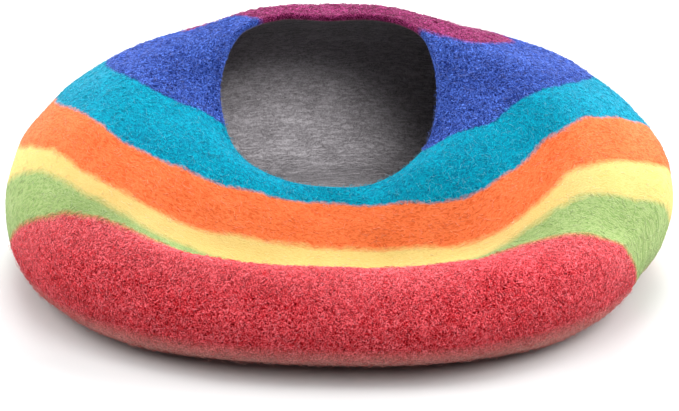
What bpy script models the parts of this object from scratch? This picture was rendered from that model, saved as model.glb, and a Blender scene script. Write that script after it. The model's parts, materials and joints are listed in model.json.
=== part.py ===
"""A felted wool cat cave: one seamless shell with a round mouth, sagged over a low roll at its front.

Metres, +Z up, front towards -Y. The shell is described by upright sections taken all round the mouth:
each section runs from the mouth's rim over the top and down the side to the flat base.
"""

import math

import bmesh
import bpy
import numpy as np
from mathutils import Matrix, Vector

MM = 0.001

WALL = 6.0 * MM  # thickness of the felt
RIM_ROUNDING = 2.2 * MM  # radius worn onto both edges of the cut mouth
MOUTH_X = -9.0  # the sections' common axis, mm from the middle of the plan
MOUTH_Y = -24.0
FOOT_IN = 52.0  # mm from the belly in to where the wall lies down on the floor
FOOT_IN_FRONT = 38.0  # and this much more at the front
HEEL = 0.77  # how full the turn below the belly is; 1 would be a square corner
HEEL_FRONT = 0.04  # and this much fuller at the front
FULLNESS = 1.2  # how round a section bulges between its stations; 1 is a plain spline

SEGMENTS = 48  # round the mouth
WALL_RINGS = 30  # rim to foot
BASE_RINGS = 4  # foot to the middle of the base

# One row for each upright section, every 30 degrees from the right-hand side (+X) round by the back.
# Radii (r) and heights (z) in mm at the mouth's rim, the crest beside it, the dip below the crest,
# the top of the outer roll, and the belly, where the side stands out furthest.
SECTIONS = (
    #  rim r, z   crest r, z   dip r, z   roll r, z   belly r, z
    (85, 149, 122, 158, 176, 157, 244, 117, 275, 80),  # right
    (89, 187, 117, 184, 166, 168, 249, 129, 275, 70),
    (85, 194, 108, 194, 144, 176, 226, 138, 261, 67),
    (73, 194, 100, 195, 133, 181, 207, 142, 250, 66),  # back
    (84, 195, 108, 194, 138, 179, 217, 140, 260, 66),
    (84, 189, 116, 184, 154, 171, 230, 131, 273, 64),
    (84, 154, 120, 162, 170, 160, 233, 118, 258, 62),  # left
    (78, 119, 113, 134, 178, 120, 222, 88, 240, 51),
    (68, 105, 97, 102, 152, 67, 185, 80, 216, 41),
    (62, 100, 88, 82, 133, 54, 168, 75, 206, 37),  # front
    (71, 103, 98, 95, 145, 62, 188, 75, 227, 43),
    (82, 120, 118, 128, 190, 98, 234, 78, 251, 60),
)
# Rim, crest, dip, roll, belly, heel and foot are stations 0 to 6; the base's middle is station 7.
STATIONS = 6

# Hand-worked unevenness, one row each: bearing (degrees) and station of its middle,
# how far it spreads either way, and how far it stands out of the wall (mm, minus is a dent).
FOLDS = (
    # bearing, station, bearing spread, station spread, out
    (338.0, 3.50, 7.0, 0.70, -6.0),  # crease where the roll ends on the right
    (324.0, 3.30, 9.0, 0.60, 4.0),  # the roll's rounded right end
    (212.0, 3.20, 12.0, 0.50, 3.0),  # the roll's left end
    (236.0, 3.60, 9.0, 0.40, -2.5),  # thumbed hollow in the roll, left of the middle
    (274.0, 3.30, 16.0, 0.40, 2.5),  # fuller stretches of the roll
    (306.0, 3.20, 9.0, 0.40, 2.5),
    (262.0, 1.50, 10.0, 0.40, -1.5),  # slope below the mouth
    (300.0, 1.60, 9.0, 0.40, 1.5),
    (196.0, 2.30, 10.0, 0.45, 2.0),  # left shoulder
    (168.0, 2.80, 9.0, 0.50, -2.0),
    (20.0, 2.60, 10.0, 0.50, -2.0),  # right shoulder
    (352.0, 1.80, 9.0, 0.45, 2.0),
    (60.0, 3.60, 12.0, 0.60, 2.5),  # back
    (104.0, 2.90, 11.0, 0.50, -2.5),
    (140.0, 3.80, 12.0, 0.50, 2.0),
    (228.0, 5.00, 14.0, 0.50, 2.5),  # fuller heel left of the middle
    (319.0, 5.00, 13.0, 0.50, 4.0),  # and below the roll's right end
    (346.0, 4.90, 7.0, 0.50, -4.0),  # hollow below the crease
)

FELT_COLOUR = (0.62, 0.09, 0.10, 1.0)
FELT_ROUGHNESS = 0.95


def clear_scene():
    for item in list(bpy.data.objects):
        bpy.data.objects.remove(item, do_unlink=True)


def collection(name):
    made = bpy.data.collections.new(name)
    bpy.context.scene.collection.children.link(made)
    return made


def section_at(bearing):
    """The section's rim, crest, dip, roll, belly, heel and foot as (r, z), blended round the mouth."""
    rows = np.array(SECTIONS, float)
    place = bearing / math.tau * len(rows)
    row = math.floor(place)
    f = place - row
    a, b, c, d = (rows[(row + step) % len(rows)] for step in (-1, 0, 1, 2))
    blended = b + 0.5 * f * (c - a + f * (2 * a - 5 * b + 4 * c - d + f * (3 * (b - c) + d - a)))
    points = blended.reshape(-1, 2)
    belly_r, belly_z = points[-1]
    front = max(0.0, -math.sin(bearing)) ** 2
    foot_in = FOOT_IN + FOOT_IN_FRONT * front
    fullness = HEEL + HEEL_FRONT * front
    heel = (belly_r - foot_in * (1 - fullness), belly_z * (1 - fullness))
    foot = (belly_r - foot_in, 0.0)
    return np.vstack([points, heel, foot])


def tangents(points):
    """How the section heads at each of its points: round the bulges, and flat along the floor at the foot."""
    heading = np.zeros_like(points)
    heading[1:-1] = FULLNESS * 0.5 * (points[2:] - points[:-2])
    heading[0] = points[1] - points[0]
    heading[-1] = (0.5 * (points[-1, 0] - points[-3, 0]), 0.0)
    return heading


def on_section(bearing, station):
    """The point (r, z) of the bare section at a station, and the way out of the felt there."""
    points = section_at(bearing)
    if station >= STATIONS:
        return points[-1] * (STATIONS + 1 - station), np.array((0.0, -1.0))
    heading = tangents(points)
    i = int(station)
    f = station - i
    ease = 2 * f**3 - 3 * f**2
    point = (
        (ease + 1) * points[i]
        + (f**3 - 2 * f**2 + f) * heading[i]
        - ease * points[i + 1]
        + (f**3 - f**2) * heading[i + 1]
    )
    along = (
        (6 * f**2 - 6 * f) * (points[i] - points[i + 1])
        + (3 * f**2 - 4 * f + 1) * heading[i]
        + (3 * f**2 - 2 * f) * heading[i + 1]
    )
    out = np.array((-along[1], along[0])) / np.hypot(*along)
    return point, out


def fold_height(bearing, station):
    """How far the folds lift the wall; they die away towards the foot, so that the base stays flat."""
    total = 0.0
    for middle, at, bearing_spread, station_spread, out in FOLDS:
        aside = (math.degrees(bearing) - middle + 180) % 360 - 180
        total += out * math.exp(-((aside / bearing_spread) ** 2) - ((station - at) / station_spread) ** 2)
    keep = min(1.0, max(0.0, (STATIONS - station) / 0.5))
    return total * keep


def on_shell(bearing, station):
    """A point of the felt's outer face, in metres from the middle of the plan on the floor."""
    point, out = on_section(bearing, station)
    radius, height = point + fold_height(bearing, station) * out
    return Vector((
        MOUTH_X + radius * math.cos(bearing),
        MOUTH_Y + radius * math.sin(bearing),
        max(height, 0.0),
    )) * MM


def station_of(ring):
    """Rings 1 to WALL_RINGS + 1 go down the wall, and the rest in across the base."""
    down = ring - 1
    if down <= WALL_RINGS:
        return STATIONS * down / WALL_RINGS
    return STATIONS + (down - WALL_RINGS) / BASE_RINGS


def felt_surface():
    """The outer face as an open surface: a sphere without its top, each point taken to its section."""
    rings = WALL_RINGS + BASE_RINGS + 1
    bm = bmesh.new()
    bmesh.ops.create_uvsphere(bm, u_segments=SEGMENTS, v_segments=rings, radius=1.0)
    top = max(bm.verts, key=lambda vert: vert.co.z)
    bmesh.ops.delete(bm, geom=[top], context="VERTS")
    for vert in bm.verts:
        x, y, z = vert.co
        ring = round(math.acos(max(-1.0, min(1.0, z))) / math.pi * rings)
        vert.co = on_shell(math.atan2(y, x) % math.tau, station_of(ring))
    bmesh.ops.recalc_face_normals(bm, faces=bm.faces)
    lowest = min(bm.faces, key=lambda face: face.calc_center_median().z)
    if lowest.normal.z > 0:
        bmesh.ops.reverse_faces(bm, faces=bm.faces)
    mesh = bpy.data.meshes.new("felt_shell")
    bm.to_mesh(mesh)
    bm.free()
    return mesh


def centre_on_floor(mesh):
    xs = [vert.co.x for vert in mesh.vertices]
    ys = [vert.co.y for vert in mesh.vertices]
    middle = Vector(((min(xs) + max(xs)) / 2, (min(ys) + max(ys)) / 2, 0.0))
    mesh.transform(Matrix.Translation(-middle))


def felt_material():
    material = bpy.data.materials.new("wool_felt")
    material.use_nodes = True
    shader = material.node_tree.nodes["Principled BSDF"]
    shader.inputs["Base Color"].default_value = FELT_COLOUR
    shader.inputs["Roughness"].default_value = FELT_ROUGHNESS
    shader.inputs["Metallic"].default_value = 0.0
    return material


def felt_shell(home):
    mesh = felt_surface()
    centre_on_floor(mesh)
    mesh.shade_smooth()
    mesh.materials.append(felt_material())
    shell = bpy.data.objects.new("felt_shell", mesh)
    home.objects.link(shell)

    wall = shell.modifiers.new("wall", "SOLIDIFY")
    wall.thickness = WALL
    wall.offset = -1.0
    wall.use_even_offset = True
    wall.use_rim = True

    rim = shell.modifiers.new("rim_rounding", "BEVEL")
    rim.width = RIM_ROUNDING
    rim.segments = 2
    rim.limit_method = "ANGLE"
    rim.angle_limit = math.radians(55)
    return shell


clear_scene()
felt_shell(collection("felt_cat_cave"))
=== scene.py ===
import json
import math
import random

import bmesh
import bpy
import numpy as np
from mathutils import Matrix, Vector, noise
from mathutils.bvhtree import BVHTree

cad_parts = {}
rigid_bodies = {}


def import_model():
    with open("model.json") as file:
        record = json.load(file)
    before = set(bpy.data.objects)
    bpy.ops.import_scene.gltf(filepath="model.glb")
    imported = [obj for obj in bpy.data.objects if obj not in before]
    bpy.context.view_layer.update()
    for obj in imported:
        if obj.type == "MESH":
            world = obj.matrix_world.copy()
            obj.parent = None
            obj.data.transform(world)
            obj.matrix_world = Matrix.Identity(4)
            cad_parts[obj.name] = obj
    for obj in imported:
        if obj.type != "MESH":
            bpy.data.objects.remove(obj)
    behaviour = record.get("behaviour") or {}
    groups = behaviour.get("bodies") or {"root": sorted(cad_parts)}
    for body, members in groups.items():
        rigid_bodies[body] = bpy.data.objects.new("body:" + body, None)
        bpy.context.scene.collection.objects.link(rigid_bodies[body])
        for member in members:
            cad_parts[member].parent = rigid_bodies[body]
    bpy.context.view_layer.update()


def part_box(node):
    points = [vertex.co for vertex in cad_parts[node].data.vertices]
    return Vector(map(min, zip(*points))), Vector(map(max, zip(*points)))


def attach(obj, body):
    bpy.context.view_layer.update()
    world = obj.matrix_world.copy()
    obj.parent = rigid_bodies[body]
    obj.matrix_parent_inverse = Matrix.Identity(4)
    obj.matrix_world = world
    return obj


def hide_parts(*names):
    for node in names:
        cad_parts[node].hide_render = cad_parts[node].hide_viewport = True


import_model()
scene = bpy.context.scene


# camera, at the photograph's angle

cameraView = {
    "target": (0.0016, 0.0025, 0.0482),  # the point in the middle of the picture
    "elevation": 22.0,  # degrees above the floor
    "distance": 2.0367,
    "lens": 133.2,  # mm, on a sensor 36 mm wide
}


def addCamera():
    camera = bpy.data.objects.new("camera", bpy.data.cameras.new("camera"))
    scene.collection.objects.link(camera)
    raised = math.radians(cameraView["elevation"])
    target = Vector(cameraView["target"])
    camera.location = target + cameraView["distance"] * Vector((0, -math.cos(raised), math.sin(raised)))
    camera.rotation_euler = (math.pi / 2 - raised, 0, 0)
    camera.data.lens = cameraView["lens"]
    camera.data.sensor_width = 36.0
    camera.data.sensor_fit = "HORIZONTAL"
    camera.data.clip_end = 50.0
    scene.camera = camera


addCamera()
print("camera is in place")


# nodes: sums written as expressions, everything else through one method

class Value:
    # one output of a node
    def __init__(self, sheet, maker, socket):
        self.sheet = sheet
        self.maker = maker
        self.socket = socket

    def out(self, name):
        return Value(self.sheet, self.maker, self.maker.outputs[name])

    def sum(self, operation, first, second):
        return self.sheet.node("ShaderNodeMath", {"operation": operation}, {0: first, 1: second})

    def __add__(self, other):
        return self.sum("ADD", self, other)

    def __radd__(self, other):
        return self.sum("ADD", other, self)

    def __sub__(self, other):
        return self.sum("SUBTRACT", self, other)

    def __rsub__(self, other):
        return self.sum("SUBTRACT", other, self)

    def __mul__(self, other):
        return self.sum("MULTIPLY", self, other)

    def __rmul__(self, other):
        return self.sum("MULTIPLY", other, self)

    def __truediv__(self, other):
        return self.sum("DIVIDE", self, other)

    def __abs__(self):
        return self.sum("ABSOLUTE", self, 0.0)

    def atLeast(self, other):
        return self.sum("MAXIMUM", self, other)

    def atMost(self, other):
        return self.sum("MINIMUM", self, other)

    def clamped(self):
        return self.atLeast(0.0).atMost(1.0)

    def rounded(self):
        return self.sum("ROUND", self, 0.0)


class NodeSheet:
    # a node tree of a material or of a scatter
    def __init__(self, tree):
        self.tree = tree

    def node(self, kind, settings=None, inputs=None, output=0):
        made = self.tree.nodes.new(kind)
        for name, value in (settings or {}).items():
            if name == "stops":
                fillRamp(made.color_ramp, value)
            else:
                setattr(made, name, value)
        for name, value in (inputs or {}).items():
            self.feed(made.inputs[name], value)
        return Value(self, made, made.outputs[output] if len(made.outputs) else None)

    def feed(self, socket, value):
        if isinstance(value, Value):
            self.tree.links.new(value.socket, socket)
        else:
            socket.default_value = value

    def mix(self, factor, first, second):
        return self.node("ShaderNodeMix", {"data_type": "RGBA"}, {0: factor, 6: first, 7: second}, 2)

    def blend(self, factor, first, second):
        return self.node("ShaderNodeMix", {"data_type": "FLOAT"}, {0: factor, 2: first, 3: second}, 0)

    def stretch(self, vector, factors):
        return self.node("ShaderNodeVectorMath", {"operation": "MULTIPLY"}, {0: vector, 1: factors})

    def shift(self, vector, by):
        return self.node("ShaderNodeVectorMath", {"operation": "ADD"}, {0: vector, 1: by})

    def noise(self, vector, scale, detail=2.0, roughness=0.5, distortion=0.0):
        inputs = {"Vector": vector, "Scale": scale, "Detail": detail,
                  "Roughness": roughness, "Distortion": distortion}
        return self.node("ShaderNodeTexNoise", {}, inputs)

    def strands(self, vector, scale, sharpness, detail=1.0, distortion=0.6):
        # thin curling lines, bright along the middle of each
        return (1.0 - abs(self.noise(vector, scale, detail, 0.5, distortion) - 0.5) * sharpness).clamped()


def linear(shade):
    # a screen colour, 0 to 255, as the light that it stands for
    parts = [value / 255 for value in shade]
    return tuple(p / 12.92 if p <= 0.04045 else ((p + 0.055) / 1.055) ** 2.4 for p in parts) + (1.0,)


def fillRamp(ramp, stops):
    while len(ramp.elements) < len(stops):
        ramp.elements.new(1.0)
    for element, (position, colour) in zip(ramp.elements, stops):
        element.position = position
        element.color = colour


def newPaint(name):
    # a material with only its Principled shader, and the sheet that holds its nodes
    material = bpy.data.materials.new(name)
    material.use_nodes = True
    return material, NodeSheet(material.node_tree), material.node_tree.nodes["Principled BSDF"]


# the form: upright sections taken round the mouth

form = {
    "mouthX": -9.0, "mouthY": -24.0,  # mm, the sections' common axis
    "footIn": 52.0,  # mm from the belly in to where the wall lies down on the floor
    "footInFront": 38.0,  # and this much more at the front
    "heel": 0.77,  # how full the turn below the belly is
    "heelFront": 0.04,  # and this much more at the front
    "fullness": 1.2,  # how round a section bulges between its stations
    "foldFade": 0.5,  # stations above the foot over which the folds die away
    "fine": 361,  # steps in which a section is measured
    # one row every 30 degrees from the right round by the back, radii and heights in mm
    "sections": [
        # rim r, z   crest r, z   dip r, z   roll r, z   belly r, z
        (85, 149, 122, 158, 176, 157, 244, 117, 275, 80),  # right
        (89, 187, 117, 184, 166, 168, 249, 129, 275, 70),
        (85, 194, 108, 194, 144, 176, 226, 138, 261, 67),
        (73, 194, 100, 195, 133, 181, 207, 142, 250, 66),  # back
        (84, 195, 108, 194, 138, 179, 217, 140, 260, 66),
        (84, 189, 116, 184, 154, 171, 230, 131, 273, 64),
        (84, 154, 120, 162, 170, 160, 233, 118, 258, 62),  # left
        (78, 119, 113, 134, 178, 120, 222, 88, 240, 51),
        (68, 105, 97, 102, 152, 67, 185, 80, 216, 41),
        (62, 100, 88, 82, 133, 54, 168, 75, 206, 37),  # front
        (71, 103, 98, 95, 145, 62, 188, 75, 227, 43),
        (82, 120, 118, 128, 190, 98, 234, 78, 251, 60),
    ],
    # folds and dents: bearing and station of the middle, spread of each, and mm out
    "folds": [
        (338.0, 3.50, 7.0, 0.70, -6.0),  # crease where the roll ends on the right
        (324.0, 3.30, 9.0, 0.60, 4.0),  # the roll's rounded right end
        (212.0, 3.20, 12.0, 0.50, 3.0),  # the roll's left end
        (236.0, 3.60, 9.0, 0.40, -2.5),  # thumbed hollow in the roll
        (274.0, 3.30, 16.0, 0.40, 2.5),
        (306.0, 3.20, 9.0, 0.40, 2.5),
        (262.0, 1.50, 10.0, 0.40, -1.5),  # slope below the mouth
        (300.0, 1.60, 9.0, 0.40, 1.5),
        (196.0, 2.30, 10.0, 0.45, 2.0),  # left shoulder
        (168.0, 2.80, 9.0, 0.50, -2.0),
        (20.0, 2.60, 10.0, 0.50, -2.0),  # right shoulder
        (352.0, 1.80, 9.0, 0.45, 2.0),
        (60.0, 3.60, 12.0, 0.60, 2.5),  # back
        (104.0, 2.90, 11.0, 0.50, -2.5),
        (140.0, 3.80, 12.0, 0.50, 2.0),
        (228.0, 5.00, 14.0, 0.50, 2.5),  # fuller heel left of the middle
        (319.0, 5.00, 13.0, 0.50, 4.0),  # and below the roll's right end
        (346.0, 4.90, 7.0, 0.50, -4.0),  # hollow below the crease
    ],
}
lastStation = 6  # rim, crest, dip, roll, belly, heel and foot are stations 0 to 6
mm = 0.001  # the form is measured in mm, the scene in metres


def sectionAt(bearing):
    # (r, z) of each station, blended between the rows
    rows = np.array(form["sections"], float)
    place = bearing / math.tau * len(rows)
    row = math.floor(place)
    f = place - row
    a, b, c, d = (rows[(row + step) % len(rows)] for step in (-1, 0, 1, 2))
    blended = b + 0.5 * f * (c - a + f * (2 * a - 5 * b + 4 * c - d + f * (3 * (b - c) + d - a)))
    points = blended.reshape(-1, 2)
    bellyR, bellyZ = points[-1]
    front = max(0.0, -math.sin(bearing)) ** 2
    footIn = form["footIn"] + form["footInFront"] * front
    fullness = form["heel"] + form["heelFront"] * front
    heel = (bellyR - footIn * (1 - fullness), bellyZ * (1 - fullness))
    foot = (bellyR - footIn, 0.0)
    return np.vstack([points, heel, foot])


def headings(points):
    heading = np.zeros_like(points)
    heading[1:-1] = form["fullness"] * 0.5 * (points[2:] - points[:-2])
    heading[0] = points[1] - points[0]
    heading[-1] = (0.5 * (points[-1, 0] - points[-3, 0]), 0.0)
    return heading


def foldHeight(bearing, station):
    total = np.zeros_like(station)
    for middle, at, bearingSpread, stationSpread, out in form["folds"]:
        aside = (math.degrees(bearing) - middle + 180) % 360 - 180
        total += out * np.exp(-((aside / bearingSpread) ** 2) - ((station - at) / stationSpread) ** 2)
    return total * np.clip((lastStation - station) / form["foldFade"], 0, 1)


def wallLine(bearing):
    # one section from the rim to the foot: mm run from the rim, and (r, z)
    points = sectionAt(bearing)
    heading = headings(points)
    station = np.linspace(0, lastStation, form["fine"])
    i = np.minimum(station.astype(int), lastStation - 1)
    f = (station - i)[:, None]
    ease = 2 * f**3 - 3 * f**2
    line = (ease + 1) * points[i] - ease * points[i + 1]
    line += (f**3 - 2 * f**2 + f) * heading[i] + (f**3 - f**2) * heading[i + 1]
    along = np.gradient(line, axis=0)
    out = np.stack([-along[:, 1], along[:, 0]], 1) / np.hypot(along[:, 0], along[:, 1])[:, None]
    line += foldHeight(bearing, station)[:, None] * out
    line[:, 1] = np.maximum(line[:, 1], 0)
    steps = np.hypot(*np.diff(line, axis=0).T)
    return np.concatenate([[0.0], np.cumsum(steps)]), line


# the colours: rings laid about a point behind the mouth

rings = {
    # the wall laid flat round the mouth: mm from the mouth's middle to its rim, and the rings' middle
    "rimReach": 74.2, "middleX": 15.0, "middleY": 120.0,
    "beyond": 40.0,  # mm for one level above the first edge and below the last
    # how far each colour reaches from the middle, mm, by direction (0 right, 90 back, 270 front)
    "reach": [
        # way  magenta blue cyan orange yellow green
        (0, 131, 200, 282, 347, 386, 430),
        (30, 118, 175, 240, 290, 320, 360),
        (60, 92, 135, 185, 222, 250, 280),
        (90, 72, 115, 162, 200, 226, 258),
        (120, 85, 125, 172, 210, 236, 268),
        (150, 115, 158, 208, 248, 275, 314),
        (180, 133, 192, 240, 287, 317, 370),
        (200, 104, 199, 248, 294, 322, 376),
        (215, 92, 200, 246, 284, 300, 346),
        (228, 87, 187, 249, 286, 299, 314),
        (240, 86, 163, 238, 277, 294, 302),
        (252, 86, 150, 222, 259, 281, 312),
        (270, 84, 150, 211, 250, 274, 316),
        (284, 82, 160, 218, 253, 277, 304),
        (293, 84, 174, 230, 265, 279, 283),
        (303, 92, 185, 227, 261, 271, 291),
        (312, 104, 187, 222, 253, 271, 315),
        (324, 118, 194, 229, 270, 304, 372),
        (340, 126, 197, 253, 311, 351, 420),
    ],
}


def reachAt(way):
    # each colour's reach at these directions, smoothly between the rows
    rows = np.array(rings["reach"], float)
    before, after = rows[-2:].copy(), rows[:3].copy()
    before[:, 0] -= 360
    after[:, 0] += 360
    rows = np.vstack([before, rows, after])
    at, reach = rows[:, 0], rows[:, 1:]
    slope = np.zeros_like(reach)
    slope[1:-1] = (reach[2:] - reach[:-2]) / (at[2:] - at[:-2])[:, None]
    i = np.clip(np.searchsorted(at, way, side="right") - 1, 1, len(at) - 3)
    gap = (at[i + 1] - at[i])[..., None]
    f = (way - at[i])[..., None] / gap
    ease = 2 * f**3 - 3 * f**2
    return ((ease + 1) * reach[i] - ease * reach[i + 1]
            + (f**3 - 2 * f**2 + f) * gap * slope[i] + (f**3 - f**2) * gap * slope[i + 1])


def ringLevel(bearing, run):
    # which colour a place has (0 at the first edge, 5 at the last), and how many mm one level is there
    flatX = (rings["rimReach"] + run) * np.cos(bearing) - rings["middleX"]
    flatY = (rings["rimReach"] + run) * np.sin(bearing) - rings["middleY"]
    reach = reachAt(np.degrees(np.arctan2(flatY, flatX)) % 360)
    away = np.hypot(flatX, flatY)[..., None]
    widths = reach[..., 1:] - reach[..., :-1]
    level = np.clip((away - reach[..., :-1]) / widths, 0, 1).sum(-1)
    outside = np.minimum(away - reach[..., :1], 0) + np.maximum(away - reach[..., -1:], 0)
    level += outside[..., 0] / rings["beyond"]
    ends = np.full(level.shape + (1,), rings["beyond"])
    widths = np.concatenate([ends, widths, ends], -1)
    i = np.clip(np.floor(level + 0.5).astype(int), 0, reach.shape[-1] - 1)
    f = np.clip(level + 0.5 - i, 0, 1)[..., None]
    nearby = np.take_along_axis(widths, i[..., None], -1) * (1 - f)
    nearby += np.take_along_axis(widths, i[..., None] + 1, -1) * f
    return level, nearby[..., 0]


# the felt shell

shell = {
    "around": 320,  # faces round the mouth
    "down": 118,  # faces from the rim to the foot
    "across": 8,  # faces from the foot in to the middle of the base
    "wall": 0.006,  # metres thick
    "underPile": 0.0006,  # metres that the felt lies inside the form, so that its pile reaches it
    "rimRounding": 0.0028, "rimSegments": 4,
    "rimAngle": 55.0,  # degrees; only the cut edge of the mouth is sharper than this
    "rimDepth": 0.006,  # metres from the rim in which the cut edge's depth is measured
    "flat": (0.75, 0.69), "flatArea": 0.487,  # the wall laid out flat, in metres
    # unevenness of the felt: size of the lumps and how far they stand out, metres
    "lumps": [(0.034, 0.0010), (0.015, 0.0005)],
    "lumpsFade": 0.012,  # metres above the floor over which they die away
    "wrinkles": [(0.011, 0.0009), (0.006, 0.0004)],  # inside, drawn out round the wall
    "wrinkleLength": 4.0,
    "wrinklesFade": 0.03,  # metres from the rim over which they set in
    "lowestInside": 0.004,  # metres above the floor
}


def shellGrid():
    # the outer face as a grid of places (metres), with bearing and run (mm) of each
    bearings = np.arange(shell["around"]) / shell["around"] * math.tau
    down, across = shell["down"], shell["across"]
    places = np.zeros((down + across + 1, shell["around"], 3))
    runs = np.zeros(places.shape[:2])
    for column, bearing in enumerate(bearings):
        run, line = wallLine(bearing)
        wanted = run[-1] * np.arange(down + 1) / down
        r = np.interp(wanted, run, line[:, 0])
        z = np.interp(wanted, run, line[:, 1])
        inward = np.arange(1, across + 1) / across
        runs[:, column] = np.concatenate([wanted, run[-1] + inward * r[-1]])
        r = np.concatenate([r, r[-1] * (1 - inward)])
        z = np.concatenate([z, np.zeros(across)])
        places[:, column, 0] = form["mouthX"] + r * math.cos(bearing)
        places[:, column, 1] = form["mouthY"] + r * math.sin(bearing)
        places[:, column, 2] = z
    places *= mm
    low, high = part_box("felt_shell")
    middle = (places.reshape(-1, 3).min(0) + places.reshape(-1, 3).max(0)) / 2
    places[..., :2] += np.array((low + high) / 2)[:2] - middle[:2]
    return bearings, runs, places


def ringWays(level, places):
    # the direction in which a colour's edge runs, at each place of the grid; changes are over two faces
    levelRound = np.roll(level, -1, 1) - np.roll(level, 1, 1)
    placeRound = np.roll(places, -1, 1) - np.roll(places, 1, 1)
    levelDown = np.gradient(level, axis=0) * 2
    placeDown = np.gradient(places, axis=0) * 2
    ways = placeRound * levelDown[..., None] - placeDown * levelRound[..., None]
    return ways / (np.linalg.norm(ways, axis=-1, keepdims=True) + 1e-9)


def unevenness(place, sizes):
    return sum(out * noise.noise(place / size) for size, out in sizes)


def outerFace():
    # a sphere without its top, each point taken to its place in the grid
    bearings, runs, places = shellGrid()
    level, width = ringLevel(bearings[None, :], runs)
    ways = ringWays(level, places)
    rows = shell["down"] + shell["across"] + 1
    bm = bmesh.new()
    bmesh.ops.create_uvsphere(bm, u_segments=shell["around"], v_segments=rows, radius=1.0)
    bmesh.ops.delete(bm, geom=[max(bm.verts, key=lambda vert: vert.co.z)], context="VERTS")
    # the sphere's faces come in a new order on each run, and the pile is scattered face by face
    bm.verts.index_update()
    bm.faces.sort(key=lambda face: sum(vert.index ** 2 for vert in face.verts))
    band = bm.verts.layers.float_vector.new("band")
    along = bm.verts.layers.float_vector.new("along")
    for vert in bm.verts:
        row = round(math.acos(max(-1.0, min(1.0, vert.co.z))) / math.pi * rows) - 1
        column = round(math.atan2(vert.co.y, vert.co.x) / math.tau * shell["around"]) % shell["around"]
        row = min(row, rows - 1)
        vert.co = Vector(places[row, column])
        vert[band] = Vector((level[row, column], width[row, column] * mm, runs[row, column] * mm))
        vert[along] = Vector(ways[row, column])
    bmesh.ops.recalc_face_normals(bm, faces=bm.faces)
    if min(bm.faces, key=lambda face: face.calc_center_median().z).normal.z > 0:
        bmesh.ops.reverse_faces(bm, faces=bm.faces)
    bm.normal_update()
    moves = [(vert, vert.normal.copy(), unevenness(vert.co, shell["lumps"])) for vert in bm.verts]
    for vert, normal, out in moves:
        vert.co += normal * (out - shell["underPile"]) * min(1.0, max(0.0, vert.co.z / shell["lumpsFade"]))
        vert.co.z = max(vert.co.z, 0.0)
    mesh = bpy.data.meshes.new("outerFace")
    bm.to_mesh(mesh)
    bm.free()
    mesh.shade_smooth()
    return mesh


def settled(piece):
    # the piece's mesh with its modifiers applied, on a new object
    graph = bpy.context.evaluated_depsgraph_get()
    mesh = bpy.data.meshes.new_from_object(piece.evaluated_get(graph), depsgraph=graph)
    done = bpy.data.objects.new(piece.name, mesh)
    scene.collection.objects.link(done)
    name = piece.name
    bpy.data.objects.remove(piece)
    done.name = name
    return done


def feltShell(face, outside, inside):
    piece = bpy.data.objects.new("catCaveFelt", face.copy())
    scene.collection.objects.link(piece)
    piece.data.materials.append(outside)
    piece.data.materials.append(inside)
    wall = piece.modifiers.new("wall", "SOLIDIFY")
    wall.thickness = shell["wall"]
    wall.offset = -1.0
    wall.use_even_offset = True
    wall.use_rim = True
    wall.material_offset = 1
    wall.material_offset_rim = 0
    rim = piece.modifiers.new("rimRounding", "BEVEL")
    rim.width = shell["rimRounding"]
    rim.segments = shell["rimSegments"]
    rim.limit_method = "ANGLE"
    rim.angle_limit = math.radians(shell["rimAngle"])
    piece = settled(piece)
    wrinkleInside(piece.data)
    markDepth(piece.data, face)
    piece.data.shade_smooth()
    return piece


def markDepth(mesh, face):
    # how far in from the felt's outer face each place of the cut edge lies
    outer = bmesh.new()
    outer.from_mesh(face)
    tree = BVHTree.FromBMesh(outer)
    outer.free()
    run = np.zeros(len(mesh.vertices) * 3, np.float32)
    mesh.attributes["band"].data.foreach_get("vector", run)
    depth = np.zeros(len(mesh.vertices), np.float32)
    for i in np.flatnonzero(run[2::3] < shell["rimDepth"]):
        depth[i] = tree.find_nearest(mesh.vertices[i].co)[3]
    mesh.attributes.new("depth", "FLOAT", "POINT").data.foreach_set("value", depth)


def wrinkleInside(mesh):
    # soft creases drawn out round the inner wall, none at the rim
    bm = bmesh.new()
    bm.from_mesh(mesh)
    bm.normal_update()
    band = bm.verts.layers.float_vector["band"]
    moves = []
    for vert in bm.verts:
        if all(face.material_index == 1 for face in vert.link_faces):
            run = vert[band].z
            place = Vector((vert.co.x / shell["wrinkleLength"], vert.co.y / shell["wrinkleLength"], run))
            lift = unevenness(place, shell["wrinkles"]) * min(1.0, run / shell["wrinklesFade"])
            moves.append((vert, vert.normal.copy() * lift))
    for vert, move in moves:
        vert.co += move
        vert.co.z = max(vert.co.z, shell["lowestInside"])
    bm.to_mesh(mesh)
    bm.free()


# what the felt looks like

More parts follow.
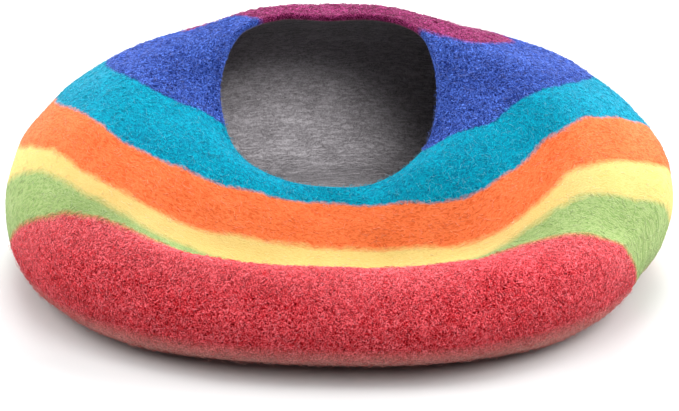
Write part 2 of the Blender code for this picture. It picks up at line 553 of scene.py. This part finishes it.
felt = {
    # gaps, body and fibres are screen colours; curl and comb are how strongly the fibres show;
    # edge is the mm over which a colour turns into the next one, either way
    "columns": ("gaps", "body", "fibres", "curl", "comb", "edge"),
    "colours": [
        ((54, 0, 26), (106, 8, 62), (198, 82, 146), 1.0, 0.15, 2.6),  # magenta
        ((0, 4, 62), (14, 40, 128), (98, 136, 236), 1.0, 0.1, 1.2),  # blue
        ((0, 102, 132), (0, 140, 168), (0, 178, 202), 0.7, 0.4, 1.8),  # cyan
        ((204, 84, 38), (236, 115, 66), (242, 144, 99), 0.4, 0.7, 2.8),  # orange
        ((212, 175, 96), (224, 193, 122), (228, 206, 158), 0.2, 0.8, 3.8),  # yellow
        ((116, 145, 80), (151, 171, 110), (182, 198, 146), 0.4, 0.7, 3.2),  # green
        ((84, 0, 2), (214, 10, 28), (255, 126, 136), 1.0, 0.15, 2.2),  # red
    ],
    "widestEdge": 4.0,  # mm, the most that an edge may be
    # painted highlight: the red is painted paler where the roll turns over towards the light from above,
    # standing in for the sheen on its fuzz
    "paintedTopSheen": (226, 130, 134), "paintedTopSheenShare": 0.4,  # the red is paler where the roll turns over
    "paintedTopSheenStart": 20.0,  # how suddenly that sets in at the red's edge
    "paintedTopSheenRest": 0.4, "paintedTopSheenOnFibres": 0.6,  # how much of it lies everywhere, and on the fibres
    # painted shade: the colour is darkened towards the floor
    "paintedLowShade": 0.3, "paintedLowShadeHeight": 0.05,  # and deeper near the floor
    # greyer fibres along the cut edge, where the wall's thickness shows: metres in from the outside
    "rimTint": (120, 106, 104), "rimFrom": 0.0040, "rimTo": 0.0056, "rimShare": 0.8,
    # painted light: the lowest fringe is painted paler and greyer, standing in for light thrown up from the
    # floor
    "paintedFloorLight": (214, 166, 154),  # the red's greyer lowest fringe
    "paintedFloorLightTop": 0.029, "paintedFloorLightFull": 0.011,  # metres above the floor where it starts and is at its full
    "paintedFloorLightRest": 0.3, "paintedFloorLightOnFibres": 0.6,  # how much of it lies everywhere, and on the fibres
    # the grain is drawn out along the rings: how closely it keeps to the place, and metres that it
    # shifts from one ring to the next
    "grainAlong": (0.33, 0.33, 0.33), "grainAcross": 0.035,
    # what makes the edges ragged: repeats to a metre, detail, and metres that an edge is pushed
    "waves": (40.0, 1.0, 0.006), "tufts": (230.0, 2.0, 0.003), "ends": (800.0, 2.0, 0.004),
    # curled and combed fibres: repeats to a metre, sharpness, detail, distortion
    "curled": (520.0, 7.0, 0.0, 1.4), "finerCurled": (820.0, 6.0, 0.0, 1.1),
    "combed": (760.0, 6.0, 1.0, 0.5),
    "finerShare": 0.85,  # how strongly the finer ones show
    "finerApart": (3.1, 1.7, 0.6),  # metres that they are shifted, so that they go their own way
    # blotches and specks: repeats to a metre, detail, roughness
    "mottle": (28.0, 3.0, 0.55), "speckle": (900.0, 2.0, 0.6),
    # tone, from 0 in the gaps to 1 on the fibres, and what each pattern adds to it
    "restTone": 0.32, "webTone": 1.6, "mottleTone": 0.4, "speckleTone": 0.5,
    # relief of the surface, in shares of the bump
    "webRelief": 0.35, "curlRelief": 0.65, "speckleRelief": 0.8, "tuftRelief": 0.6,
    "bump": 0.0003,  # metres
    "roughness": 0.95, "specular": 0.08,
    "sheen": 0.05, "sheenRoughness": 0.3,
}
bands = [dict(zip(felt["columns"], row)) for row in felt["colours"]]
lastEdge = len(bands) - 2  # the edges between the colours are levels 0 to 5
rampLevels = len(bands) + 1  # a ramp goes from level -1 to 7


def bandRamp(sheet, place, pick):
    # a ramp with each colour's value in the middle of its band
    stops = [((i + 0.5) / rampLevels, pick(band)) for i, band in enumerate(bands)]
    return sheet.node("ShaderNodeValToRGB", {"stops": stops}, {0: place})


def bandPlace(sheet, level, width):
    # where a level lies on the ramp: in the middle of its band except near an edge
    nearest = level.rounded().atLeast(0.0).atMost(lastEdge)
    edge = bandRamp(sheet, (nearest + 0.5) / rampLevels,
                    lambda band: (band["edge"] / felt["widestEdge"],) * 3 + (1,))
    soft = sheet.node("ShaderNodeSeparateColor", {}, {0: edge}).out("Red") * (felt["widestEdge"] * mm)
    turned = ((level - nearest) * width / (soft * 2.0) + 0.5).clamped()
    return (nearest + turned + 0.5) / rampLevels


def nearFloor(sheet, colour, height, fibres):
    # painted shade, deeper towards the floor, and at the very bottom a paler fringe of painted light from the
    # floor
    low = (1.0 - height / felt["paintedLowShadeHeight"]).clamped() * felt["paintedLowShade"]
    colour = sheet.mix(low, colour, (0, 0, 0, 1))
    # painted light from the floor on the lowest fringe, more of it on the fibres
    floorLightShare = felt["paintedFloorLightRest"] + fibres * felt["paintedFloorLightOnFibres"]
    paintedFloorLightMask = ((felt["paintedFloorLightTop"] - height) / (felt["paintedFloorLightTop"] - felt["paintedFloorLightFull"])).clamped() * floorLightShare
    return sheet.mix(paintedFloorLightMask.clamped(), colour, linear(felt["paintedFloorLight"]))


def feltOutside():
    material, sheet, shader = newPaint("ringedWoolFelt")
    place = sheet.node("ShaderNodeTexCoord", output="Object")
    band = sheet.node("ShaderNodeAttribute", {"attribute_name": "band"}, output="Vector")
    bandParts = sheet.node("ShaderNodeSeparateXYZ", {}, {0: band})
    level, width = bandParts.out("X"), bandParts.out("Y")
    depth = sheet.node("ShaderNodeAttribute", {"attribute_name": "depth"}, output="Fac")
    height = sheet.node("ShaderNodeSeparateXYZ", {}, {0: place}).out("Z")

    # the grain, and the ragged edges of the rings
    across = sheet.node("ShaderNodeCombineXYZ", {}, {"Z": level * felt["grainAcross"]})
    grain = sheet.shift(sheet.stretch(place, felt["grainAlong"]), across)
    waves = sheet.noise(place, *felt["waves"][:2]) - 0.5
    tufts = sheet.noise(grain, *felt["tufts"][:2]) - 0.5
    ends = sheet.noise(grain, *felt["ends"][:2]) - 0.5
    pushed = waves * felt["waves"][2] + tufts * felt["tufts"][2] + ends * felt["ends"][2]
    mixed = level + pushed / width
    onRamp = bandPlace(sheet, mixed, width)

    gaps = bandRamp(sheet, onRamp, lambda band: linear(band["gaps"]))
    body = bandRamp(sheet, onRamp, lambda band: linear(band["body"]))
    fibres = bandRamp(sheet, onRamp, lambda band: linear(band["fibres"]))
    strengths = bandRamp(sheet, onRamp, lambda band: (band["curl"], band["comb"], 0, 1))
    strengths = sheet.node("ShaderNodeSeparateColor", {}, {0: strengths})
    curl, comb = strengths.out("Red"), strengths.out("Green")

    # the fibres, and the tone that they give
    curled = sheet.strands(place, *felt["curled"])
    finer = sheet.strands(sheet.shift(place, felt["finerApart"]), *felt["finerCurled"])
    combed = sheet.strands(grain, *felt["combed"])
    web = sheet.blend(comb, curled.atLeast(finer * felt["finerShare"]), combed)
    mottle = sheet.noise(place, *felt["mottle"]) - 0.5
    speckle = sheet.noise(place, *felt["speckle"]) - 0.5
    tone = felt["restTone"] + (web - 0.5) * curl * felt["webTone"] + mottle * felt["mottleTone"]
    tone += speckle * felt["speckleTone"] * curl
    colour = toned(sheet, tone, gaps, body, fibres)
    # painted highlight where the roll turns over, stronger on the fibres
    paintedSheen = (lastEdge + 1.0 - mixed).clamped() * ((mixed - lastEdge) * felt["paintedTopSheenStart"]).clamped()
    paintedSheen *= felt["paintedTopSheenShare"] * (felt["paintedTopSheenRest"] + web * felt["paintedTopSheenOnFibres"])
    colour = sheet.mix(paintedSheen, colour, linear(felt["paintedTopSheen"]))
    # painted shade and painted light from the floor, near the floor
    colour = nearFloor(sheet, colour, height, web)
    rim = ((depth - felt["rimFrom"]) / (felt["rimTo"] - felt["rimFrom"])).clamped() * felt["rimShare"]
    colour = sheet.mix(rim.clamped(), colour, linear(felt["rimTint"]))
    sheet.feed(shader.inputs["Base Color"], colour)

    relief = web * (felt["webRelief"] + curl * felt["curlRelief"])
    relief += speckle * felt["speckleRelief"] + tufts * felt["tuftRelief"]
    bump = sheet.node("ShaderNodeBump", {}, {"Strength": 1.0, "Distance": felt["bump"], "Height": relief})
    sheet.feed(shader.inputs["Normal"], bump)
    woolly(shader)
    return material


def toned(sheet, tone, gaps, body, fibres):
    # from the gaps' colour at tone 0 over the body's at 0.5 to the fibres' at 1
    colour = sheet.mix((tone * 2.0).clamped(), gaps, body)
    return sheet.mix((tone * 2.0 - 1.0).clamped(), colour, fibres)


def woolly(shader):
    shader.inputs["Roughness"].default_value = felt["roughness"]
    shader.inputs["Specular IOR Level"].default_value = felt["specular"]
    shader.inputs["Sheen Weight"].default_value = felt["sheen"]
    shader.inputs["Sheen Roughness"].default_value = felt["sheenRoughness"]


lining = {
    "gaps": (62, 57, 59), "body": (133, 129, 132), "fibres": (177, 173, 176),
    "drawnOut": (0.3, 0.3, 0.0),  # the creases run round the wall
    # creases and pebbles: repeats to a metre, sharpness, detail, distortion
    "creases": (260.0, 7.0, 2.0, 0.5), "pebbles": (330.0, 9.0, 1.5, 0.8),
    # blotches and specks: repeats to a metre, detail, roughness
    "mottle": (35.0, 4.0, 0.6), "speckle": (800.0, 2.0, 0.6),
    # tone, and what each pattern adds to it or takes from it
    # the creases' tone is painted shade: it darkens the creases
    "restTone": 0.62, "pebbleTone": 0.2, "paintedCreaseShade": 0.25, "mottleTone": 0.4, "speckleTone": 0.7,
    "pebbleRelief": 0.35, "speckleRelief": 0.5, "creaseRelief": 0.5,
    "bump": 0.0007,  # metres
}


def feltInside():
    material, sheet, shader = newPaint("greyWoolFelt")
    place = sheet.node("ShaderNodeTexCoord", output="Object")
    band = sheet.node("ShaderNodeAttribute", {"attribute_name": "band"}, output="Vector")
    run = sheet.node("ShaderNodeSeparateXYZ", {}, {0: band}).out("Z")
    down = sheet.node("ShaderNodeCombineXYZ", {}, {"Z": run})
    grain = sheet.shift(sheet.stretch(place, lining["drawnOut"]), down)
    creases = sheet.strands(grain, *lining["creases"])
    pebbles = sheet.strands(place, *lining["pebbles"])
    mottle = sheet.noise(place, *lining["mottle"]) - 0.5
    speckle = sheet.noise(place, *lining["speckle"]) - 0.5
    # painted shade: the creases are painted darker
    tone = lining["restTone"] + (pebbles - 0.5) * lining["pebbleTone"] - creases * lining["paintedCreaseShade"]
    tone += mottle * lining["mottleTone"] + speckle * lining["speckleTone"]
    shades = [linear(lining[part]) for part in ("gaps", "body", "fibres")]
    sheet.feed(shader.inputs["Base Color"], toned(sheet, tone, *shades))
    relief = pebbles * lining["pebbleRelief"] + speckle * lining["speckleRelief"]
    relief -= creases * lining["creaseRelief"]
    bump = sheet.node("ShaderNodeBump", {}, {"Strength": 1.0, "Distance": lining["bump"], "Height": relief})
    sheet.feed(shader.inputs["Normal"], bump)
    woolly(shader)
    return material


# the fuzz: short curled fibres scattered over the outside

fuzz = {
    "layers": [
        # name, fibres to a square metre, thickness, height and length in metres,
        # paleness, whether only at the rim, seed
        ("curlsA", 40000, 0.00023, 0.0009, 0.0046, 0.0, False, 1),
        ("curlsB", 40000, 0.00020, 0.0010, 0.0042, 0.03, False, 2),
        ("curlsC", 40000, 0.00018, 0.0011, 0.0038, 0.06, False, 3),
        ("strayHairs", 24000, 0.00008, 0.0024, 0.0056, 0.25, False, 4),
        ("rimHairs", 300000, 0.00007, 0.0011, 0.0040, 0.10, True, 5),
    ],
    "shapes": 6,  # different curls in each layer
    "steps": 4,  # lengths in a curl
    "bow": 0.33,  # how far a curl strays to its side, in lengths
    "wriggle": 0.6,  # and how much of that it does twice over
    "rise": (0.6, 1.3),  # how high the shapes stand, in heights
    "arch": 0.8,  # how round a curl's rise is; less is squarer
    "sunk": 1.5,  # how deep its ends lie in the felt, in thicknesses
    "sizes": (0.65, 1.25),  # the smallest and the largest, against the layer's own size
    "turning": (0.12, 1.05),  # how freely combed and curled fibres turn
    "rimReach": 0.003,  # metres from the rim in which the rim's own hairs grow
    "bareBelow": 0.0025,  # metres above the floor under which no fibres grow
    "clear": 0.0004,  # metres that the lowest fibres keep above the floor
    "pale": (206, 200, 210),  # what a layer's paleness leads to
}


def curlMesh(name, thickness, height, length, dice):
    # a three-sided fibre, pointed at both ends, that rises from the felt, wanders and comes down again
    bm = bmesh.new()
    bmesh.ops.create_circle(bm, cap_ends=True, segments=3, radius=thickness)
    bmesh.ops.rotate(bm, verts=bm.verts, cent=(0, 0, 0), matrix=Matrix.Rotation(math.pi / 2, 3, "Y"))
    sway, swing, tall = dice.uniform(-1, 1), dice.uniform(-1, 1), dice.uniform(*fuzz["rise"])
    steps = fuzz["steps"]

    def along(t):
        aside = sway * math.sin(math.pi * t) + fuzz["wriggle"] * swing * math.sin(math.tau * t)
        rise = math.sin(math.pi * t) ** fuzz["arch"] if 0 < t < 1 else 0.0
        up = height * tall * rise - thickness * fuzz["sunk"]
        return Vector(((t - 0.5) * length, aside * length * fuzz["bow"], up))

    bmesh.ops.translate(bm, verts=bm.verts, vec=along(0))
    end = bm.faces[:]
    tips = [bm.verts[:]]
    for step in range(1, steps + 1):
        grown = bmesh.ops.extrude_face_region(bm, geom=end)["geom"]
        verts = [item for item in grown if isinstance(item, bmesh.types.BMVert)]
        bmesh.ops.delete(bm, geom=end, context="FACES_ONLY")
        end = [item for item in grown if isinstance(item, bmesh.types.BMFace)]
        bmesh.ops.translate(bm, verts=verts, vec=along(step / steps) - along((step - 1) / steps))
    tips.append(verts)
    for t, tip in zip((0, 1), tips):
        bmesh.ops.pointmerge(bm, verts=tip, merge_co=along(t))
    bmesh.ops.recalc_face_normals(bm, faces=bm.faces)
    mesh = bpy.data.meshes.new(name)
    bm.to_mesh(mesh)
    bm.free()
    mesh.shade_smooth()
    return mesh


def scatterTree(name, bank, density, atRim, seed):
    tree = bpy.data.node_groups.new(name, "GeometryNodeTree")
    tree.interface.new_socket("Geometry", in_out="INPUT", socket_type="NodeSocketGeometry")
    tree.interface.new_socket("Geometry", in_out="OUTPUT", socket_type="NodeSocketGeometry")
    sheet = NodeSheet(tree)
    face = sheet.node("NodeGroupInput")

    def chance(low, high, salt):
        return sheet.node("FunctionNodeRandomValue", {"data_type": "FLOAT"},
                          {2: low, 3: high, "Seed": seed * 10 + salt}, 1)

    def stored(attribute, kind="FLOAT"):
        return sheet.node("GeometryNodeInputNamedAttribute", {"data_type": kind}, {"Name": attribute})

    height = sheet.node("ShaderNodeSeparateXYZ", {}, {0: sheet.node("GeometryNodeInputPosition")}).out("Z")
    above = {0: height, 1: fuzz["bareBelow"]}
    where = sheet.node("FunctionNodeCompare", {"operation": "GREATER_THAN"}, above)
    if atRim:
        run = sheet.node("ShaderNodeSeparateXYZ", {}, {0: stored("band", "FLOAT_VECTOR")}).out("Z")
        near = {0: run, 1: fuzz["rimReach"]}
        where = sheet.node("FunctionNodeCompare", {"operation": "LESS_THAN"}, near)
    pile = stored("pile")
    points = sheet.node("GeometryNodeDistributePointsOnFaces", {},
                        {"Mesh": face, "Selection": where, "Density": pile * density, "Seed": seed})
    laid = sheet.node("FunctionNodeAlignRotationToVector", {"axis": "X", "pivot_axis": "Z"},
                      {"Rotation": points.out("Rotation"), "Vector": stored("along", "FLOAT_VECTOR")})
    spin = chance(-math.pi, math.pi, 1) * stored("loose")
    spun = sheet.node("FunctionNodeAxisAngleToRotation", {}, {"Axis": (0, 0, 1), "Angle": spin})
    turn = sheet.node("FunctionNodeRotateRotation", {"rotation_space": "LOCAL"},
                      {"Rotation": laid, "Rotate By": spun})
    size = chance(*fuzz["sizes"], 2)
    scale = sheet.node("ShaderNodeCombineXYZ", {}, {"X": size, "Y": size, "Z": size * pile})
    pick = sheet.node("FunctionNodeRandomValue", {"data_type": "INT"},
                      {4: 0, 5: fuzz["shapes"] - 1, "Seed": seed * 10 + 3}, 2)
    shapes = sheet.node("GeometryNodeCollectionInfo", {}, {"Collection": bank, "Separate Children": True})
    grown = sheet.node("GeometryNodeInstanceOnPoints", {},
                       {"Points": points, "Instance": shapes, "Pick Instance": True,
                        "Instance Index": pick, "Rotation": turn, "Scale": scale})
    marked = sheet.node("GeometryNodeStoreNamedAttribute", {"data_type": "FLOAT", "domain": "INSTANCE"},
                        {"Geometry": grown, "Name": "tone", "Value": chance(0.0, 1.0, 4)})
    real = sheet.node("GeometryNodeRealizeInstances", {}, {0: marked})
    sheet.node("NodeGroupOutput", {}, {0: real})
    return tree


def fuzzLayer(face, row):
    name, density, thickness, height, length, paleness, atRim, seed = row
    dice = random.Random(seed)
    bank = bpy.data.collections.new(name + "Shapes")
    for i in range(fuzz["shapes"]):
        mesh = curlMesh(name + "Shape", thickness, height, length, dice)
        bank.objects.link(bpy.data.objects.new(f"{name}Shape{i}", mesh))
    piece = bpy.data.objects.new(name, face.copy())
    scene.collection.objects.link(piece)
    scatter = piece.modifiers.new("scatter", "NODES")
    scatter.node_group = scatterTree(name + "Scatter", bank, density, atRim, seed)
    piece = settled(piece)
    piece.data.materials.clear()
    piece.data.materials.append(fibrePaint(name + "Wool", paleness))
    for shape in list(bank.objects):
        bpy.data.objects.remove(shape)
    bpy.data.collections.remove(bank)
    places = np.zeros(len(piece.data.vertices) * 3, np.float32)
    piece.data.vertices.foreach_get("co", places)
    places[2::3] = np.maximum(places[2::3], fuzz["clear"])
    piece.data.vertices.foreach_set("co", places)
    piece.data.update()
    piece.data.calc_loop_triangles()
    print(name, len(piece.data.loop_triangles), "triangles")
    return piece


def fibrePaint(name, paleness):
    material, sheet, shader = newPaint(name)
    band = sheet.node("ShaderNodeAttribute", {"attribute_name": "band"}, output="Vector")
    bandParts = sheet.node("ShaderNodeSeparateXYZ", {}, {0: band})
    level, width = bandParts.out("X"), bandParts.out("Y")
    tone = sheet.node("ShaderNodeAttribute", {"attribute_name": "tone"}, output="Fac")
    onRamp = bandPlace(sheet, level, width)
    body = bandRamp(sheet, onRamp, lambda band: linear(band["body"]))
    fibres = bandRamp(sheet, onRamp, lambda band: linear(band["fibres"]))
    place = sheet.node("ShaderNodeTexCoord", output="Object")
    height = sheet.node("ShaderNodeSeparateXYZ", {}, {0: place}).out("Z")
    # painted shade and painted light from the floor, near the floor, as on the felt
    colour = nearFloor(sheet, sheet.mix(tone, body, fibres), height, tone)
    colour = sheet.mix(paleness, colour, linear(fuzz["pale"]))
    sheet.feed(shader.inputs["Base Color"], colour)
    woolly(shader)
    return material


def markPile(face):
    # how thick the pile is, and how freely its fibres turn: all ways where curly, and along the rings
    # where combed
    band = np.zeros(len(face.vertices) * 3, np.float32)
    face.attributes["band"].data.foreach_get("vector", band)
    curls = np.array([colour["curl"] for colour in bands])
    combs = np.array([colour["comb"] for colour in bands])
    nearest = np.clip(np.floor(band[0::3]).astype(int) + 1, 0, len(combs) - 1)
    least, most = fuzz["turning"]
    loose = np.clip(most - combs[nearest], least, 1.0).astype(np.float32)
    face.attributes.new("loose", "FLOAT", "POINT").data.foreach_set("value", loose)
    face.attributes.new("pile", "FLOAT", "POINT").data.foreach_set("value", curls[nearest].astype(np.float32))


# build

face = outerFace()
markPile(face)
print("outer face:", len(face.polygons), "faces")
cave = feltShell(face, feltOutside(), feltInside())
print("felt shell:", len(cave.data.polygons), "faces")
layers = [fuzzLayer(face, row) for row in fuzz["layers"]]
for piece in [cave, *layers]:
    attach(piece, "root")
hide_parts("felt_shell")


# floor and light

studio = {
    "floorShade": 0.58, "floorRoughness": 0.8, "floorShine": 0.1,
    "floorSize": 4.0, "floorDrop": 0.0003,  # metres either way, and below the object
    "world": 0.08,
    # name, degrees to the right of the front, degrees up, strength, softness in degrees
    "lights": [
        ("front", 10.0, 68.0, 2.1, 75.0),
        ("left", -115.0, 24.0, 3.5, 50.0),
        ("right", 115.0, 26.0, 4.8, 50.0),
        ("above", 180.0, 78.0, 1.3, 30.0),
        ("behind", 180.0, 30.0, 3.0, 40.0),
    ],
    # the light that finds its way in through the mouth, from inside the front wall
    "inside": {
        "place": (0.03, -0.04, 0.085), "aim": (-0.055, 0.2, -0.025),
        "watts": 4.6, "cone": 58.0, "size": 0.03,
    },
}


def addFloor():
    bm = bmesh.new()
    bmesh.ops.create_grid(bm, x_segments=4, y_segments=4, size=studio["floorSize"])
    bmesh.ops.translate(bm, verts=bm.verts, vec=(0, 0, -studio["floorDrop"]))
    mesh = bpy.data.meshes.new("floor")
    bm.to_mesh(mesh)
    bm.free()
    floor = bpy.data.objects.new("floor", mesh)
    scene.collection.objects.link(floor)
    material, sheet, shader = newPaint("paleFloor")
    sheet.feed(shader.inputs["Base Color"], (studio["floorShade"],) * 3 + (1,))
    sheet.feed(shader.inputs["Roughness"], studio["floorRoughness"])
    sheet.feed(shader.inputs["Specular IOR Level"], studio["floorShine"])
    mesh.materials.append(material)


def addLights():
    for name, right, up, strength, softness in studio["lights"]:
        lamp = bpy.data.lights.new(name, "SUN")
        lamp.energy = strength
        lamp.angle = math.radians(softness)
        light = bpy.data.objects.new(name, lamp)
        scene.collection.objects.link(light)
        light.rotation_euler = (math.radians(90 - up), 0, math.radians(right))
    inside = studio["inside"]
    lamp = bpy.data.lights.new("inside", "SPOT")
    lamp.energy = inside["watts"]
    lamp.spot_size = math.radians(inside["cone"])
    lamp.spot_blend = 1.0
    lamp.shadow_soft_size = inside["size"]
    light = bpy.data.objects.new("inside", lamp)
    scene.collection.objects.link(light)
    light.location = inside["place"]
    aim = Vector(inside["aim"]) - Vector(inside["place"])
    light.rotation_euler = aim.to_track_quat("-Z", "Y").to_euler()
    world = bpy.data.worlds.new("studio")
    scene.world = world
    world.use_nodes = True
    background = world.node_tree.nodes["Background"]
    background.inputs["Color"].default_value = (1, 1, 1, 1)
    background.inputs["Strength"].default_value = studio["world"]
    scene.view_settings.view_transform = "Standard"
    scene.view_settings.look = "None"


addFloor()
addLights()
print("floor and lights are in place")
